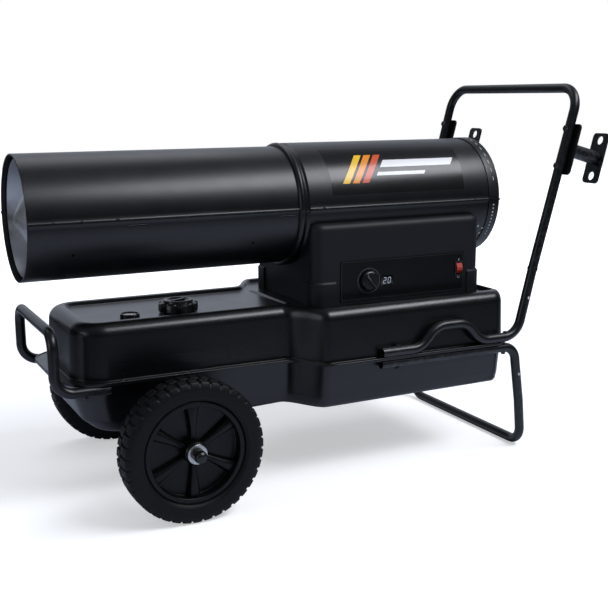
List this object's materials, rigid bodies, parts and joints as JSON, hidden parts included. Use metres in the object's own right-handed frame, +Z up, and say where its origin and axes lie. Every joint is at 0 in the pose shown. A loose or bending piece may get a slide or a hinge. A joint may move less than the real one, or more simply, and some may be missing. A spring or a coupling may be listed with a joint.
{
  "type": "portable forced air heater",
  "caption": "Portable forced-air kerosene heater: round burner barrel over an electrics housing and fuel tank, on two wheels with a tubular handle and rear foot.",
  "frame": {"origin": "middle of the object's box on the floor plane the tyres and the foot bar stand on", "axes": "-X is the hot air outlet (front), +X the fan guard and handle (rear), -Y the control panel side, +Z up"},
  "size_m": [1.1486, 0.6088, 0.7467],
  "materials": {
    "black_powder_coat": "semi-gloss black powder coat on sheet steel, slightly bluish, fine orange peel",
    "housing_paint": "matt dark navy-grey paint on folded sheet steel",
    "tube_paint": "semi-gloss black paint on steel tube",
    "guard_wire": "black coated steel wire",
    "bare_liner": "bare stainless sheet, heat tinted towards the outlet",
    "burner_steel": "bare pressed steel",
    "zinc_steel": "zinc plated steel",
    "cast_alloy": "as-cast aluminium alloy, bead blasted",
    "tyre_rubber": "matt black moulded rubber",
    "seal_rubber": "matt black seal rubber",
    "black_plastic": "fine-grained black moulded plastic",
    "wheel_plastic": "satin black moulded plastic",
    "cap_plastic": "semi-gloss black moulded plastic",
    "panel_film": "dark printed panel, satin",
    "rocker_plastic": "glossy red moulded plastic",
    "needle_plastic": "bright red moulded plastic",
    "float_foam": "closed-cell float",
    "strainer_mesh": "off-white moulded strainer",
    "filter_plastic": "clear moulded filter housing",
    "board": "green circuit board with black parts",
    "motor_paint": "dark grey enamel",
    "fuel_hose": "black fuel hose",
    "air_hose": "pale nylon tube"
  },
  "bodies": {
    "chassis": {"tank_upper_shell": "black_powder_coat", "tank_lower_shell": "black_powder_coat", "drain_plug": "zinc_steel", "filler_neck": "black_powder_coat", "fuel_strainer": "strainer_mesh", "gauge_body": "black_plastic", "front_handle": "tube_paint", "handle_lower_left": "tube_paint", "handle_lower_right": "tube_paint", "upper_handle": "tube_paint", "stand_tube_left": "tube_paint", "stand_tube_right": "tube_paint", "stand_foot": "tube_paint", "cord_wrap_left": "tube_paint", "cord_wrap_right": "tube_paint", "axle": "zinc_steel", "axle_bracket_left": "black_powder_coat", "hub_washer_left": "zinc_steel", "axle_cap_left": "cap_plastic", "axle_bracket_right": "black_powder_coat", "hub_washer_right": "zinc_steel", "axle_cap_right": "cap_plastic", "front_upper_shell": "black_powder_coat", "rear_upper_shell": "black_powder_coat", "front_lower_shell": "black_powder_coat", "rear_lower_shell": "black_powder_coat", "fan_guard": "guard_wire", "heat_shield": "bare_liner", "combustion_chamber": "bare_liner", "flame_cone": "burner_steel", "burner_head": "burner_steel", "igniter": "strainer_mesh", "photocell": "black_plastic", "motor_housing": "motor_paint", "pump_body": "cast_alloy", "filter_end_cover": "black_plastic", "motor_bracket": "zinc_steel", "side_cover_left": "housing_paint", "side_cover_right": "housing_paint", "control_panel": "panel_film", "thermostat_body": "black_plastic", "switch_body": "black_plastic", "circuit_board": "board", "ignition_transformer": "black_plastic", "cord_gland": "black_plastic", "fuel_filter": "filter_plastic", "fuel_line": "fuel_hose", "air_line": "air_hose"},
    "wheel_left": {"wheel_rim_left": "wheel_plastic", "tyre_left": "tyre_rubber"},
    "wheel_right": {"wheel_rim_right": "wheel_plastic", "tyre_right": "tyre_rubber"},
    "fan_rotor": {"fan": "cast_alloy", "motor_shaft": "zinc_steel"},
    "knob": {"thermostat_knob": "cap_plastic"},
    "rocker": {"power_rocker": "rocker_plastic"},
    "cap_lift": {"cap_gasket": "seal_rubber"},
    "cap": {"fuel_cap": "cap_plastic"},
    "float": {"gauge_float": "float_foam"},
    "needle": {"gauge_needle": "needle_plastic"}
  },
  "joints": [
    {"name": "wheel_left_spin", "type": "hinge", "parent": "chassis", "child": "wheel_left", "pos_m": [-0.34431, -0.249, 0.127], "axis": [0, 1, 0], "continuous": true},
    {"name": "wheel_right_spin", "type": "hinge", "parent": "chassis", "child": "wheel_right", "pos_m": [-0.34431, 0.249, 0.127], "axis": [0, 1, 0], "continuous": true},
    {"name": "fan_spin", "type": "hinge", "parent": "chassis", "child": "fan_rotor", "pos_m": [0.00769, 0, 0.513], "axis": [1, 0, 0], "continuous": true},
    {"name": "thermostat_turn", "type": "hinge", "parent": "chassis", "child": "knob", "pos_m": [0.07019, -0.1386, 0.37], "axis": [0, -1, 0], "range_deg": [-150, 120]},
    {"name": "power_rock", "type": "hinge", "parent": "chassis", "child": "rocker", "pos_m": [0.28069, -0.1373, 0.3789], "axis": [1, 0, 0], "range_deg": [-14, 0]},
    {"name": "cap_lift_off", "type": "slide", "parent": "chassis", "child": "cap_lift", "axis": [0, 0, 1], "range_m": [0, 0.045]},
    {"name": "cap_turn", "type": "hinge", "parent": "cap_lift", "child": "cap", "pos_m": [-0.2903, -0.048, 0.345], "axis": [0, 0, 1], "continuous": true},
    {"name": "float_rise", "type": "slide", "parent": "chassis", "child": "float", "axis": [0, 0, 1], "range_m": [0, 0.1]},
    {"name": "needle_turn", "type": "hinge", "parent": "chassis", "child": "needle", "pos_m": [-0.38731, -0.058, 0.33], "axis": [0, 0, -1], "range_deg": [0, 230]}
  ],
  "couplings": [
    {"joint": "needle_turn", "follows": "float_rise", "rad_per_m": 40}
  ]
}
